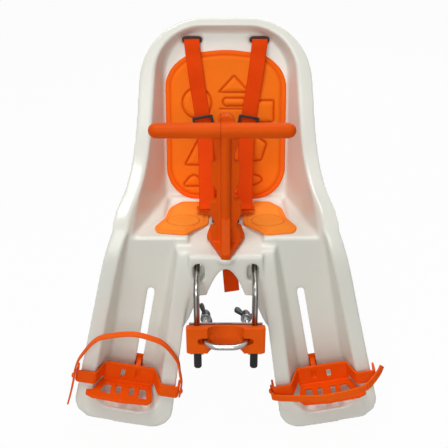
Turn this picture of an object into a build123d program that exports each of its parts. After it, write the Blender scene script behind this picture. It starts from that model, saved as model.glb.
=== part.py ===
"""Front-mount child bike seat: moulded shell, pads, handle, harness, footrests and stem clamp.

Millimetres. Origin on the stem axis at mid height of the clamp block, +Z up, seat behind at +Y.
"""
from math import cos, radians, sin, sqrt, tan
import os

from build123d import *

os.makedirs("parts", exist_ok=True)

# Shell: wall, rolled rim and draft of the moulded walls
shell_wall = 3.5
rim_width = 20.5
rim_top_drop = 9.0
rim_thickness = 5.0
rim_lip_depth = 15.0
wall_draft = 18.0

# Shell: back panel, reclined from the rear edge of the pan
back_recline = 15.0
back_foot_y = 200.0
panel_half = 90.0
panel_height = 246.0
panel_foot = 8.0
panel_corner = 58.0

# Shell: pan floor
pan_z = 115.0
pan_rear_half = 84.0
pan_waist_half = 88.0
pan_front_half = 127.0
pan_flare_start_y = 140.0
pan_flare_end_y = 84.0

# Shell: leg guards, splayed channels measured from the footrest slot
leg_splay = 11.0
leg_x = 118.0
leg_z = -37.0
leg_wall_y = 85.0
leg_inner = 21.0
leg_outer = 43.0
leg_bottom = 86.0
leg_top = 165.0
leg_corner = 12.0
slot_width = 8.0
slot_low = -76.0
slot_high = 73.0

# Shell: front edge of the rim seen from the side, as y and z
rim_line = [
    (24.5, -180.0),
    (28.0, -150.0),
    (44.0, -50.0),
    (58.0, 40.0),
    (68.0, 95.0),
    (82.0, 125.0),
    (105.0, 150.0),
    (138.0, 175.0),
    (170.0, 210.0),
    (203.0, 270.0),
    (232.0, 330.0),
    (252.0, 372.0),
    (266.0, 400.0),
]

# Shell: pommel block between the leg guards
pommel_half = 50.0
pommel_front_y = 60.0
pommel_rear_y = 120.0
pommel_low_z = 37.0
pommel_front_z = 99.0
pommel_slope = 13.6
arch_half = 26.0
arch_top_z = 79.0
gusset_x = 36.0
gusset_low_z = -20.0
tip_boss_radius = 14.0

# Pads
back_pad_half = 87.0
back_pad_thickness = 9.0
back_pad_edge = 2.5
back_pad_shoulder_drop = 66.0
back_pad_top_drop = 26.0
seat_pad_thickness = 6.0

# Harness
strap_width = 20.0
strap_thickness = 1.6
strap_gap = 0.4
strap_roll = 2.6
shoulder_slot_x = 48.5
shoulder_slot_drop = 12.0
shoulder_slot_size = (27.0, 8.0)
adjuster_x = 32.5
adjuster_drop = 127.0
lower_strap_x = 27.0
tongue_slot_y = 150.0
crotch_slot_y = 126.0
crotch_x = 4.0
crotch_slot_size = (25.0, 5.0)
crotch_tail_z = 5.0
buckle_size = (38.0, 28.0, 12.0)
buckle_y = 128.0
buckle_z = 128.0
button_size = (15.0, 11.0, 6.0)
button_stroke = 2.5
button_gap = 0.4
buckle_strap_depth = 4.0
tongue_thickness = 2.0
tongue_nose_x = 11.0
tongue_nose_width = 12.0
tongue_nose_depth = 6.0
keeper_far = 6.5
adjuster_size = (30.0, 17.0, 4.0)
adjuster_turn = -10.0

# Handle
handle_y = 84.0
handle_base_z = 104.0
bar_height = 165.0
bar_radius = 9.8
bar_shift = -4.5
bar_boss_radius = 11.5
keel_half = 6.0
bar_half = 92.0
bar_forward = 6.0
column_thickness = 11.0
foot_thickness = 9.0

# Support bar and clamp
rod_radius = 4.0
rod_x = 38.5
rod_y = 26.0
rod_low_z = -52.0
rod_hole_z = 76.0
pocket_size = (27.0, 15.0)
pocket_depth = 15.0
pocket_shift = 2.2
bar_cross_y = 185.0
rod_bend = 16.0
stem_radius = 25.0
block_half = 52.5
block_front_y = 7.0
block_rear_y = 29.0
block_top_z = 21.0
block_low_z = -19.0
block_rear_top_z = 12.5
block_lip = 5.0
plate_thickness = 2.5
bolt_radius = 4.0
bolt_x = 28.0
bolt_front_y = -4.0
bolt_rear_y = 78.0
bolt_bend = 20.0
bolt_hole_radius = 4.6
thread_gap = 0.05
washer_radius = 7.4
washer_thickness = 1.6
sleeve_radius = 5.4

# Fixings
clip_x = 13.0
clip_bolt_y = 173.0
clip_bolt_radius = 2.5
clip_head_radius = 4.5
clip_head_height = 1.6
clip_width = 14.0
clip_bolt_length = 9.0
rod_bolt_radius = 2.0
rod_bolt_z = -30.0
rod_bolt_head = 6.0
rod_bolt_end = 9.0
sleeve_high_z = -20.0
sleeve_low_z = -55.0
sleeve_flat = 4.8
block_slot_depth = 11.0
nut_gap = 0.4
bolt_travel = 28.0
nut_hub_radius = 7.4
nut_height = 12.0
wing_reach = 17.0
wing_thickness = 4.4
wing_turns = (115.0, 25.0)
handle_bolt_places = (18.0, 44.0)
handle_bolt_radius = 3.0
handle_bolt_depth = 14.0
handle_bolt_head = 4.0

# Footrests and foot straps, in leg guard axes: across, up the slot, forward of the wall
rest_thickness = 4.0
rest_depth = 22.0
rest_low = -80.0
rest_high = -46.0
arm_low = -67.0
arm_high = -47.0
arm_thickness = 3.0
outer_arm_front = 51.4
inner_arm_front = 55.4
foot_strap_thickness = 2.6
foot_strap_near = 46.5
foot_strap_far = 56.5
spigot_low = -74.0
spigot_high = -52.0
keeper_gap = 0.5
keeper_thickness = 3.0
keeper_screw_radius = 2.0
keeper_screw_length = 9.0

# Planes and derived places
recline_cos = cos(radians(back_recline))
recline_sin = sin(radians(back_recline))
draft = tan(radians(wall_draft))
splay_cos = cos(radians(leg_splay))
splay_sin = sin(radians(leg_splay))
slope = tan(radians(pommel_slope))
shoulder_slot_s = panel_height - shoulder_slot_drop
adjuster_s = panel_height - adjuster_drop
back_pad_shoulder = panel_height - back_pad_shoulder_drop
back_pad_top = panel_height - back_pad_top_drop
pan_under_z = pan_z - shell_wall
ledge_y = leg_wall_y - 1
ledge_z = pommel_front_z + (ledge_y - pommel_front_y) * slope
bar_y = handle_y - bar_forward
bar_z = handle_base_z + bar_height
bar_cross_z = pan_under_z - rod_radius
bar_slope = (bar_cross_z - rod_hole_z) / (bar_cross_y - pommel_front_y)
bar_knee_z = rod_hole_z - (pommel_front_y - rod_y) * bar_slope
pocket_x = rod_x - pocket_shift
pommel_drop = shell_wall / cos(radians(pommel_slope))
pommel_rear_z = pommel_front_z + (pommel_rear_y - pommel_front_y) * slope
washer_y = block_rear_y + plate_thickness + bolt_travel + nut_gap
nut_y = washer_y + washer_thickness
strap_rise = back_pad_thickness + strap_gap + strap_thickness / 2
buckle_top_z = buckle_z + buckle_size[2] / 2
tongue_z = buckle_z
outer_arm_end = leg_outer + rim_width + outer_arm_front * draft + 1.3 + arm_thickness / 2
inner_arm_end = leg_inner + rim_width + inner_arm_front * draft + 1.0 + arm_thickness / 2

panel_plane = Plane(origin=(0, back_foot_y, pan_z), x_dir=(1, 0, 0), z_dir=(0, -recline_cos, recline_sin))
leg_plane = Plane(origin=(leg_x, leg_wall_y, leg_z), x_dir=(splay_cos, 0, splay_sin), z_dir=(0, -1, 0))
handle_plane = Plane(origin=(0, handle_y, handle_base_z), x_dir=(1, 0, 0), z_dir=(0, -1, 0))
pommel_plane = Plane(origin=(0, pommel_front_y, pommel_front_z), x_dir=(1, 0, 0),
                     z_dir=(0, -sin(radians(pommel_slope)), cos(radians(pommel_slope))))
leg_top_plane = Plane(origin=(leg_x, leg_wall_y, leg_z), x_dir=(splay_cos, 0, splay_sin),
                      z_dir=(-splay_sin, 0, splay_cos))


def on_panel(s, n):
    """Side-view place of a point s up the back panel and n in front of it."""
    return (back_foot_y - n * recline_cos + s * recline_sin, pan_z + s * recline_cos + n * recline_sin)


def bucket(grow, back):
    """Back, pan and leg guard forms grown sideways, with their closed faces set back."""
    top = panel_height + max(grow - rim_top_drop, min(grow, shell_wall))
    with BuildPart() as form:
        with BuildSketch(panel_plane.offset(-back)):
            with BuildLine():
                Polyline(
                    (-panel_half - grow, panel_foot - grow),
                    (panel_half + grow, panel_foot - grow),
                    (panel_half + grow, top),
                    (-panel_half - grow, top),
                    close=True,
                )
            face = make_face()
            fillet(face.vertices().group_by(Axis.Y)[-1], panel_corner + grow)
        extrude(amount=125, taper=-wall_draft)
        with BuildSketch(Plane.XY.offset(pan_z - back)):
            with BuildLine():
                Polyline(
                    (-pan_rear_half - grow, back_foot_y - 3 + grow),
                    (pan_rear_half + grow, back_foot_y - 3 + grow),
                    (pan_waist_half + grow, pan_flare_start_y - 10),
                    (-pan_waist_half - grow, pan_flare_start_y - 10),
                    close=True,
                )
            make_face()
        extrude(amount=22, taper=-wall_draft)
        with BuildSketch(Plane.XY.offset(pan_z - back)):
            with BuildLine():
                Polyline(
                    (-pan_waist_half - grow, pan_flare_start_y),
                    (pan_waist_half + grow, pan_flare_start_y),
                    (pan_front_half + grow, pan_flare_end_y),
                    (pan_front_half + grow, 5),
                    (-pan_front_half - grow, 5),
                    (-pan_front_half - grow, pan_flare_end_y),
                    close=True,
                )
            make_face()
        extrude(amount=60, taper=-wall_draft)
        with BuildSketch(leg_plane.offset(-back)):
            with BuildLine():
                Polyline(
                    (-leg_inner - grow, -leg_bottom - grow),
                    (leg_outer + grow, -leg_bottom - grow),
                    (leg_outer + grow, leg_top + grow),
                    (-leg_inner - grow, leg_top + grow),
                    close=True,
                )
            leg_face = make_face()
            fillet(leg_face.vertices().group_by(Axis.Y)[0], leg_corner)
        leg = extrude(amount=80, taper=-wall_draft)
        mirror(leg, about=Plane.YZ)
    return form.part


def behind_rim(back):
    """Everything behind the rim line seen from the side, the line set back."""
    with BuildPart() as form:
        with BuildSketch(Plane.YZ):
            with BuildLine():
                edge = Spline([(y + back, z) for y, z in rim_line])
                Polyline(edge @ 1, (360, 400), (360, -180), edge @ 0)
            make_face()
        extrude(amount=260, both=True)
    return form.part


# Seat shell: thin-walled bucket with a rolled rim, the pommel block and every slot and hole
cavity = bucket(0.0, 0.0)
rim_front = behind_rim(0.0)
rim_back = behind_rim(rim_thickness)
lip_back = behind_rim(rim_lip_depth)
wall_form = bucket(shell_wall, shell_wall)
rim_form = bucket(rim_width, shell_wall)
lip_core = bucket(rim_width - shell_wall, shell_wall)

with BuildPart() as lip:
    add(rim_form)
    add(lip_core, mode=Mode.SUBTRACT)
    add(lip_back, mode=Mode.SUBTRACT)

with BuildPart() as pommel:
    with BuildSketch(Plane.YZ):
        with BuildLine():
            Polyline(
                (pommel_front_y, pommel_low_z),
                (pommel_front_y, pommel_front_z),
                (pommel_rear_y, pommel_rear_z),
                (pommel_rear_y, pan_under_z - 4),
                (leg_wall_y + shell_wall, pommel_low_z + 30),
                (leg_wall_y + shell_wall, pommel_low_z),
                close=True,
            )
        make_face()
    extrude(amount=pommel_half, both=True)
    fillet(pommel.edges().filter_by(Axis.X).sort_by(Axis.Y)[0:2].sort_by(Axis.Z)[-1], 5)

with BuildPart() as seat_shell:
    add(rim_form)
    add(rim_back, mode=Mode.SUBTRACT)
    add(lip.part)
    add(wall_form)
    with BuildSketch(Plane.YZ):
        with BuildLine():
            Polyline(
                (pommel_front_y, pommel_front_z),
                (ledge_y, ledge_z),
                (ledge_y, pan_z),
                (pommel_rear_y, pan_z),
                (pommel_rear_y, pommel_rear_z - pommel_drop),
                (pommel_front_y, pommel_front_z - pommel_drop),
                close=True,
            )
        make_face()
    extrude(amount=pommel_half + rim_width + 4, both=True)
    with BuildSketch(Plane.XY.offset(pan_under_z)):
        with Locations(*[(side * (pommel_half + shell_wall + 20), leg_wall_y + shell_wall + 20) for side in (-1, 1)]):
            Rectangle(40, 40)
    extrude(amount=-25, mode=Mode.SUBTRACT)
    add(rim_front, mode=Mode.INTERSECT)
    add(cavity, mode=Mode.SUBTRACT)
    with BuildSketch(Plane.YZ):
        with BuildLine():
            Polyline(
                (10, pommel_front_z - 50 * slope),
                (pommel_rear_y, pommel_rear_z),
                (pommel_rear_y, pan_z + 12),
                (10, pan_z + 12),
                close=True,
            )
        make_face()
    extrude(amount=pommel_half, both=True, mode=Mode.SUBTRACT)
    with BuildSketch(Plane.YZ):
        with BuildLine():
            Polyline(
                (10, pommel_front_z - 50 * slope),
                (ledge_y, ledge_z),
                (ledge_y, pan_z + 12),
                (10, pan_z + 12),
                close=True,
            )
        make_face()
    extrude(amount=pommel_half + rim_width + 4, both=True, mode=Mode.SUBTRACT)
    add(pommel.part)
    with BuildSketch(pommel_plane):
        with Locations((0, tip_boss_radius - 8)):
            Circle(tip_boss_radius)
    extrude(amount=-9)
    with BuildSketch(Plane.YZ):
        with BuildLine():
            Polyline(
                (pommel_front_y + shell_wall, pommel_low_z - 5),
                (pommel_front_y + shell_wall, pommel_front_z + shell_wall * slope - pommel_drop),
                (pommel_rear_y + 5, pommel_rear_z + 5 * slope - pommel_drop),
                (pommel_rear_y + 5, pommel_low_z - 5),
                close=True,
            )
        make_face()
    extrude(amount=pommel_half - shell_wall, both=True, mode=Mode.SUBTRACT)
    with BuildSketch(Plane.XZ.offset(-pommel_front_y - shell_wall)):
        with Locations((-pocket_x, rod_hole_z - 2), (pocket_x, rod_hole_z - 2)):
            SlotOverall(pocket_size[0] + 5, pocket_size[1] + 5, rotation=90)
    extrude(amount=-pocket_depth + 1)
    with BuildSketch(Plane.XZ.offset(-pommel_front_y)):
        with BuildLine():
            Polyline(
                (gusset_x, pommel_low_z + 1),
                (gusset_x + 14.5, 0),
                (gusset_x + 26, gusset_low_z),
                (gusset_x + 29.5, gusset_low_z),
                (gusset_x + 26, 0),
                (gusset_x + 19, pommel_low_z + 1),
                close=True,
            )
        make_face()
        mirror(about=Plane.YZ)
    extrude(amount=-shell_wall)
    with BuildSketch(Plane.XZ.offset(-pommel_front_y + 10)):
        with BuildLine():
            arch = Spline(
                [(-arch_half, pommel_low_z), (0, arch_top_z), (arch_half, pommel_low_z)],
                tangents=[(0.35, 1), (0.35, -1)],
            )
            Polyline(arch @ 1, (arch_half, pommel_low_z - 20), (-arch_half, pommel_low_z - 20), arch @ 0)
        make_face()
        with Locations((-pocket_x, rod_hole_z - 2), (pocket_x, rod_hole_z - 2)):
            SlotOverall(*pocket_size, rotation=90)
    extrude(amount=-10 - pocket_depth, mode=Mode.SUBTRACT)
    with BuildSketch(Plane.XZ.offset(-pommel_front_y)):
        with Locations(*[(side * rod_x, rod_hole_z + (pocket_depth + 1) * bar_slope) for side in (-1, 1)]):
            SlotCenterToCenter(1.6, 2 * rod_radius + 1, rotation=90)
    extrude(amount=-pocket_depth - 10, mode=Mode.SUBTRACT)
    with BuildSketch(leg_plane.offset(5)):
        with Locations((0, (slot_low + slot_high) / 2)):
            SlotOverall(slot_high - slot_low, slot_width, rotation=90)
    slots = extrude(amount=-15, mode=Mode.SUBTRACT)
    mirror(slots, about=Plane.YZ, mode=Mode.SUBTRACT)
    with BuildSketch(panel_plane.offset(5)):
        with Locations((-shoulder_slot_x, shoulder_slot_s), (shoulder_slot_x, shoulder_slot_s)):
            RectangleRounded(*shoulder_slot_size, 2)
    extrude(amount=-15, mode=Mode.SUBTRACT)
    with BuildSketch(Plane.XY.offset(pan_z + 5)):
        with Locations((crotch_x, crotch_slot_y)):
            RectangleRounded(*crotch_slot_size, 1.5)
    extrude(amount=-15, mode=Mode.SUBTRACT)
    with BuildSketch(Plane.XY.offset(pan_z)):
        with Locations((-clip_x, clip_bolt_y), (clip_x, clip_bolt_y)):
            Circle(clip_bolt_radius + 0.25)
    extrude(amount=-10, mode=Mode.SUBTRACT)
    with BuildSketch(Plane.XY.offset(pan_z)):
        with Locations((-clip_x, clip_bolt_y), (clip_x, clip_bolt_y)):
            Circle(clip_head_radius + 0.3)
    extrude(amount=-clip_head_height, mode=Mode.SUBTRACT)
    with BuildSketch(pommel_plane.offset(5)):
        with Locations(*[(0, y) for y in handle_bolt_places]):
            Circle(handle_bolt_radius + 0.3)
    extrude(amount=-15, mode=Mode.SUBTRACT)
seat_shell.part.label = "seat_shell"
export_step(seat_shell.part, "parts/seat_shell.step")

# Back pad: foam plate on the panel
with BuildPart() as back_pad:
    with BuildSketch(panel_plane):
        with BuildLine():
            top = ThreePointArc((-back_pad_half, back_pad_shoulder), (0, back_pad_top), (back_pad_half, back_pad_shoulder))
            Polyline(top @ 1, (back_pad_half, 8), (-back_pad_half, 8), top @ 0)
        pad_face = make_face()
        fillet(pad_face.vertices().group_by(Axis.Y)[0], 26)
        fillet(pad_face.vertices().group_by(Axis.Y)[-1], 12)
    extrude(amount=back_pad_thickness)
    fillet(back_pad.faces().sort_by(Axis((0, 0, 0), panel_plane.z_dir))[-1].edges(), back_pad_edge)
back_pad.part.label = "back_pad"
export_step(back_pad.part, "parts/back_pad.step")

# Seat pad: two thigh lobes joined at the rear, open round the crotch strap
with BuildPart() as seat_pad:
    with BuildSketch(Plane.XY.offset(pan_z)):
        with BuildLine():
            Polyline(
                (0, 192),
                (64, 192),
                (82, 172),
                (86, 140),
                (99, 112),
                (93, 97),
                (54, 91),
                (44, 105),
                (24, 122),
                (24, 152),
                (0, 152),
                close=True,
            )
        half = make_face()
        fillet(half.vertices().sort_by(Axis.X)[2:], 4)
        mirror(about=Plane.YZ)
    extrude(amount=seat_pad_thickness)
    fillet(seat_pad.faces().sort_by(Axis.Z)[-1].edges(), 2)
seat_pad.part.label = "seat_pad"
export_step(seat_pad.part, "parts/seat_pad.step")

# Handle: cross bar, flanged column and the foot on the pommel
with BuildPart() as handle:
    with BuildSketch(handle_plane.offset(-column_thickness / 2)):
        with BuildLine():
            Polyline(
                (0, 4),
                (20, 4),
                (20, 22),
                (14, 33),
                (20.5, 49),
                (20.5, 66),
                (11.5, 70),
                (11.5, 81),
                (18.3, 96),
                (18.3, 120),
                (11.5, 124),
                (11.5, 133),
                (15.5, 144),
                (17, bar_height),
                (0, bar_height),
                close=True,
            )
        make_face()
        mirror(about=Plane.YZ)
    extrude(amount=column_thickness)
    with BuildSketch(handle_plane.offset(-column_thickness / 2 - 4)):
        with Locations((0, bar_height + 8)):
            Circle(bar_boss_radius)
    extrude(amount=16)
    with BuildSketch(Plane.XY.offset(handle_base_z + 6)):
        with Locations((0, handle_y)):
            SlotCenterToCenter(15, 13, rotation=90)
    extrude(amount=bar_height - 6)
    with BuildSketch(Plane(origin=(bar_shift, bar_y, bar_z), x_dir=(1, 0, 0), z_dir=(0, -1, 0))):
        with BuildLine():
            straight = Line((-bar_half + bar_radius, bar_radius), (bar_half - bar_radius, bar_radius))
            cap = JernArc(straight @ 1, (1, 0), bar_radius, -90)
            axis_line = Line(cap @ 1, (-bar_half, 0))
            JernArc(axis_line @ 1, (0, 1), bar_radius, -90)
        make_face()
    revolve(axis=Axis((0, bar_y, bar_z), (1, 0, 0)))
    with BuildSketch(pommel_plane):
        with BuildLine():
            Polyline(
                (0, -6),
                (6, -4),
                (26, 36),
                (21, 58),
                (0, 58),
                close=True,
            )
        foot = make_face()
        mirror(about=Plane.YZ)
    extrude(amount=foot_thickness)
    with BuildSketch(Plane.YZ):
        with BuildLine():
            Polyline(
                (handle_y - 13.5, handle_base_z + 46),
                (pommel_front_y - 6.5, pommel_front_z + 6.5),
                (pommel_front_y - 5, pommel_front_z - 5 * slope),
                (handle_y, pommel_front_z + (handle_y - pommel_front_y) * slope),
                (handle_y, handle_base_z + 46),
                close=True,
            )
        make_face()
    extrude(amount=keel_half, both=True)
    with BuildSketch(pommel_plane):
        with Locations(*[(0, y) for y in handle_bolt_places]):
            Circle(handle_bolt_radius)
    extrude(amount=handle_bolt_depth, mode=Mode.SUBTRACT)
handle.part.label = "handle"
export_step(handle.part, "parts/handle.step")

# Handle bolts: driven up into the handle foot from inside the pommel
for name, place in zip(("handle_bolt_front", "handle_bolt_rear"), handle_bolt_places):
    with BuildPart() as handle_bolt:
        with BuildSketch(pommel_plane.offset(-shell_wall - handle_bolt_head)):
            with Locations((0, place)):
                RegularPolygon(handle_bolt_radius * 1.8, 6)
        extrude(amount=handle_bolt_head)
        with BuildSketch(pommel_plane.offset(-shell_wall)):
            with Locations((0, place)):
                Circle(handle_bolt_radius)
        extrude(amount=shell_wall + handle_bolt_depth)
    handle_bolt.part.label = name
    export_step(handle_bolt.part, f"parts/{name}.step")

# Support bar: one bent round bar, two legs down to the clamp and a cross run under the pan
with BuildPart() as support_bar:
    with BuildLine() as bar_path:
        FilletPolyline(
            (rod_x, rod_y, rod_low_z),
            (rod_x, rod_y, bar_knee_z),
            (rod_x, bar_cross_y, bar_cross_z),
            (-rod_x, bar_cross_y, bar_cross_z),
            (-rod_x, rod_y, bar_knee_z),
            (-rod_x, rod_y, rod_low_z),
            radius=rod_bend,
        )
    with BuildSketch(Plane.XY.offset(rod_low_z)):
        with Locations((rod_x, rod_y)):
            Circle(rod_radius)
    sweep(path=bar_path.wires()[0])
    with BuildSketch(Plane.YZ.offset(-rod_x - 10)):
        with Locations((rod_y, rod_bolt_z)):
            Circle(rod_bolt_radius + 0.1)
    extrude(amount=2 * rod_x + 20, mode=Mode.SUBTRACT)
support_bar.part.label = "support_bar"
export_step(support_bar.part, "parts/support_bar.step")

# Clips: saddles that hold the cross run of the bar under the pan, with a bolt from the pan
with BuildPart() as bar_clip_right:
    with BuildSketch(Plane.YZ.offset(clip_x - clip_width / 2)):
        with BuildLine():
            Polyline(
                (clip_bolt_y - 7, pan_under_z),
                (bar_cross_y + 8, pan_under_z),
                (bar_cross_y + 8, bar_cross_z - 7),
                (bar_cross_y - 8, bar_cross_z - 7),
                (clip_bolt_y - 7, pan_under_z - 6),
                close=True,
            )
        make_face()
        with Locations((bar_cross_y, bar_cross_z)):
            Circle(rod_radius, mode=Mode.SUBTRACT)
        with Locations((bar_cross_y, bar_cross_z + 5)):
            Rectangle(2 * rod_radius, 10, mode=Mode.SUBTRACT)
    extrude(amount=clip_width)
    with BuildSketch(Plane.XY.offset(pan_under_z)):
        with Locations((clip_x, clip_bolt_y)):
            Circle(clip_bolt_radius)
    extrude(amount=-20, mode=Mode.SUBTRACT)
bar_clip_right.part.label = "bar_clip_right"
export_step(bar_clip_right.part, "parts/bar_clip_right.step")

with BuildPart() as bar_clip_left:
    mirror(bar_clip_right.part, about=Plane.YZ)
bar_clip_left.part.label = "bar_clip_left"
export_step(bar_clip_left.part, "parts/bar_clip_left.step")

with BuildPart() as clip_bolt_right:
    with BuildSketch(Plane.XY.offset(pan_z - clip_head_height)):
        with Locations((clip_x, clip_bolt_y)):
            Circle(clip_head_radius)
    extrude(amount=clip_head_height - 0.2)
    with BuildSketch(Plane.XY.offset(pan_z - clip_head_height)):
        with Locations((clip_x, clip_bolt_y)):
            Circle(clip_bolt_radius)
    extrude(amount=-clip_bolt_length)
clip_bolt_right.part.label = "clip_bolt_right"
export_step(clip_bolt_right.part, "parts/clip_bolt_right.step")

with BuildPart() as clip_bolt_left:
    mirror(clip_bolt_right.part, about=Plane.YZ)
clip_bolt_left.part.label = "clip_bolt_left"
export_step(clip_bolt_left.part, "parts/clip_bolt_left.step")

# End sleeves of the bar legs with their cross bolts and nuts
with BuildPart() as rod_sleeve_right:
    with BuildSketch(Plane.XY.offset(sleeve_low_z)):
        with Locations((rod_x, rod_y)):
            Circle(sleeve_radius)
    extrude(amount=sleeve_high_z - sleeve_low_z)
    fillet(rod_sleeve_right.edges().filter_by(GeomType.CIRCLE).sort_by(Axis.Z)[0], 1.5)
    with BuildSketch(Plane.XY.offset(rod_low_z)):
        with Locations((rod_x, rod_y)):
            Circle(rod_radius)
    extrude(amount=60, mode=Mode.SUBTRACT)
    with BuildSketch(Plane.YZ.offset(rod_x - 20)):
        with Locations((rod_y, rod_bolt_z)):
            Circle(rod_bolt_radius + 0.1)
    extrude(amount=40, mode=Mode.SUBTRACT)
    with BuildSketch(Plane.YZ.offset(rod_x + sleeve_flat)):
        with Locations((rod_y, rod_bolt_z)):
            Rectangle(14, 9)
    extrude(amount=6, mode=Mode.SUBTRACT)
    with BuildSketch(Plane.YZ.offset(rod_x - sleeve_flat)):
        with Locations((rod_y, rod_bolt_z)):
            Rectangle(14, 9)
    extrude(amount=-6, mode=Mode.SUBTRACT)
rod_sleeve_right.part.label = "rod_sleeve_right"
export_step(rod_sleeve_right.part, "parts/rod_sleeve_right.step")

with BuildPart() as rod_sleeve_left:
    mirror(rod_sleeve_right.part, about=Plane.YZ)
rod_sleeve_left.part.label = "rod_sleeve_left"
export_step(rod_sleeve_left.part, "parts/rod_sleeve_left.step")

with BuildPart() as rod_bolt_right:
    with BuildSketch(Plane.YZ.offset(rod_x + sleeve_flat)):
        with Locations((rod_y, rod_bolt_z)):
            Circle(rod_bolt_radius * 1.8)
    extrude(amount=rod_bolt_head)
    fillet(rod_bolt_right.edges().filter_by(GeomType.CIRCLE).sort_by(Axis.X)[-1], 1.2)
    with BuildSketch(Plane.YZ.offset(rod_x + sleeve_flat)):
        with Locations((rod_y, rod_bolt_z)):
            Circle(rod_bolt_radius)
    extrude(amount=-2 * sleeve_flat - rod_bolt_end)
rod_bolt_right.part.label = "rod_bolt_right"
export_step(rod_bolt_right.part, "parts/rod_bolt_right.step")

with BuildPart() as rod_bolt_left:
    mirror(rod_bolt_right.part, about=Plane.YZ)
rod_bolt_left.part.label = "rod_bolt_left"
export_step(rod_bolt_left.part, "parts/rod_bolt_left.step")

with BuildPart() as rod_nut_right:
    with BuildSketch(Plane.YZ.offset(rod_x - sleeve_flat)):
        with Locations((rod_y, rod_bolt_z)):
            RegularPolygon(rod_bolt_radius * 2, 6)
            Circle(rod_bolt_radius, mode=Mode.SUBTRACT)
    extrude(amount=-3.4)
rod_nut_right.part.label = "rod_nut_right"
export_step(rod_nut_right.part, "parts/rod_nut_right.step")

with BuildPart() as rod_nut_left:
    mirror(rod_nut_right.part, about=Plane.YZ)
rod_nut_left.part.label = "rod_nut_left"
export_step(rod_nut_left.part, "parts/rod_nut_left.step")

# Clamp block: grooved for the stem in front and for the bar legs behind
with BuildPart() as clamp_block:
    with BuildSketch(Plane.XY.offset(block_low_z)):
        with Locations((0, (block_front_y + block_rear_y) / 2)):
            Rectangle(2 * block_half, block_rear_y - block_front_y)
        Circle(stem_radius, mode=Mode.SUBTRACT)
        with Locations((-rod_x, rod_y), (rod_x, rod_y)):
            Circle(rod_radius, mode=Mode.SUBTRACT)
        with Locations((-rod_x, rod_y + 5), (rod_x, rod_y + 5)):
            Rectangle(2 * rod_radius, 10, mode=Mode.SUBTRACT)
    extrude(amount=block_top_z - block_low_z)
    fillet(clamp_block.edges().filter_by(Axis.Z).group_by(Axis.X)[0], 3)
    fillet(clamp_block.edges().filter_by(Axis.Z).group_by(Axis.X)[-1], 3)
    with BuildSketch(Plane.YZ):
        with BuildLine():
            Polyline(
                (block_front_y + block_lip, block_top_z),
                (block_rear_y, block_rear_top_z),
                (block_rear_y + 5, block_rear_top_z),
                (block_rear_y + 5, block_top_z + 5),
                (block_front_y + block_lip, block_top_z + 5),
                close=True,
            )
        make_face()
    extrude(amount=block_half + 5, both=True, mode=Mode.SUBTRACT)
    with BuildSketch(Plane.XZ.offset(-block_front_y + 5)):
        SlotOverall(2 * bolt_x + 18, 2 * bolt_radius + 3)
    extrude(amount=-block_slot_depth - 5, mode=Mode.SUBTRACT)
    with BuildSketch(Plane.XZ.offset(-block_front_y)):
        with Locations((-bolt_x, 0), (bolt_x, 0)):
            Circle(bolt_hole_radius)
    extrude(amount=-40, mode=Mode.SUBTRACT)
clamp_block.part.label = "clamp_block"
export_step(clamp_block.part, "parts/clamp_block.step")

# Clamp plate: steel strap behind the block with a rounded lobe over each bar leg
with BuildPart() as clamp_plate:
    with BuildSketch(Plane.XY.offset(block_low_z + 2)):
        with Locations((0, block_rear_y + plate_thickness / 2)):
            Rectangle(2 * block_half - 6, plate_thickness)
        with Locations((-rod_x, rod_y), (rod_x, rod_y)):
            Circle(rod_radius + plate_thickness)
        with Locations((0, block_rear_y - 10)):
            Rectangle(2 * block_half + 10, 20, mode=Mode.SUBTRACT)
        with Locations((-rod_x, rod_y), (rod_x, rod_y)):
            Circle(rod_radius, mode=Mode.SUBTRACT)
    extrude(amount=block_rear_top_z - block_low_z)
    with BuildSketch(Plane.XZ.offset(-block_rear_y + 2)):
        with Locations((-bolt_x, 0), (bolt_x, 0)):
            Circle(bolt_hole_radius)
    extrude(amount=-15, mode=Mode.SUBTRACT)
clamp_plate.part.label = "clamp_plate"
export_step(clamp_plate.part, "parts/clamp_plate.step")

# U-bolt round the stem, its washers and wing nuts behind the plate
with BuildPart() as u_bolt:
    with BuildLine(Plane.XY) as bolt_path:
        FilletPolyline(
            (bolt_x, bolt_rear_y),
            (bolt_x, bolt_front_y),
            (-bolt_x, bolt_front_y),
            (-bolt_x, bolt_rear_y),
            radius=bolt_bend,
        )
    with BuildSketch(Plane.XZ.offset(-bolt_rear_y)):
        with Locations((bolt_x, 0)):
            Circle(bolt_radius)
    sweep(path=bolt_path.wires()[0])
u_bolt.part.label = "u_bolt"
export_step(u_bolt.part, "parts/u_bolt.step")

with BuildPart() as washer_right:
    with BuildSketch(Plane.XZ.offset(-washer_y)):
        with Locations((bolt_x, 0)):
            Circle(washer_radius)
            Circle(bolt_radius, mode=Mode.SUBTRACT)
    extrude(amount=-washer_thickness)
washer_right.part.label = "washer_right"
export_step(washer_right.part, "parts/washer_right.step")

with BuildPart() as washer_left:
    mirror(washer_right.part, about=Plane.YZ)
washer_left.part.label = "washer_left"
export_step(washer_left.part, "parts/washer_left.step")

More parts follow.
